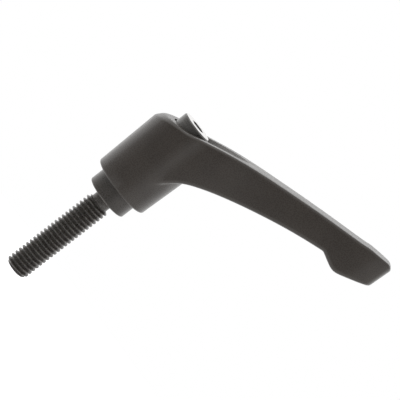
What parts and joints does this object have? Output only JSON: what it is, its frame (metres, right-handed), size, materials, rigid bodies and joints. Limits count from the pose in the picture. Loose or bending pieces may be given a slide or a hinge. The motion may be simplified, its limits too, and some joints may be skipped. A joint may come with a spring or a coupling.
{
  "type": "adjustable clamping lever",
  "caption": "Adjustable clamping lever: drafted, upswept handle on a round hub, held by a sprung screw on a serrated insert with a threaded stud, so it can be lifted and indexed.",
  "frame": {"origin": "on the stud's axis, at the flat seat face under the insert's collar", "axes": "+Z along the stud's axis, from the stud's free end up through the hub; +X the way the handle points; +Y completes a right-handed frame"},
  "size_m": [0.0903, 0.0248, 0.1038],
  "materials": {
    "lever_coating": "satin, finely textured powder coat",
    "stud_steel": "black oxide, slightly oily",
    "spring_steel": "drawn wire, satin",
    "screw_steel": "black oxide, satin"
  },
  "bodies": {
    "stud_and_screw": {"toothed_stud": "stud_steel", "retaining_screw": "screw_steel"},
    "spring": {"compression_spring": "spring_steel"},
    "lever": {"lever": "lever_coating"}
  },
  "joints": [
    {"name": "index", "type": "hinge", "parent": "stud_and_screw", "child": "spring", "pos_m": [0, 0, 0], "axis": [0, 0, 1], "continuous": true},
    {"name": "lift", "type": "slide", "parent": "spring", "child": "lever", "axis": [0, 0, 1], "range_m": [0, 0.005], "stiffness_N_per_m": 3000, "springref_m": -0.002, "deforming": ["compression_spring"]}
  ]
}
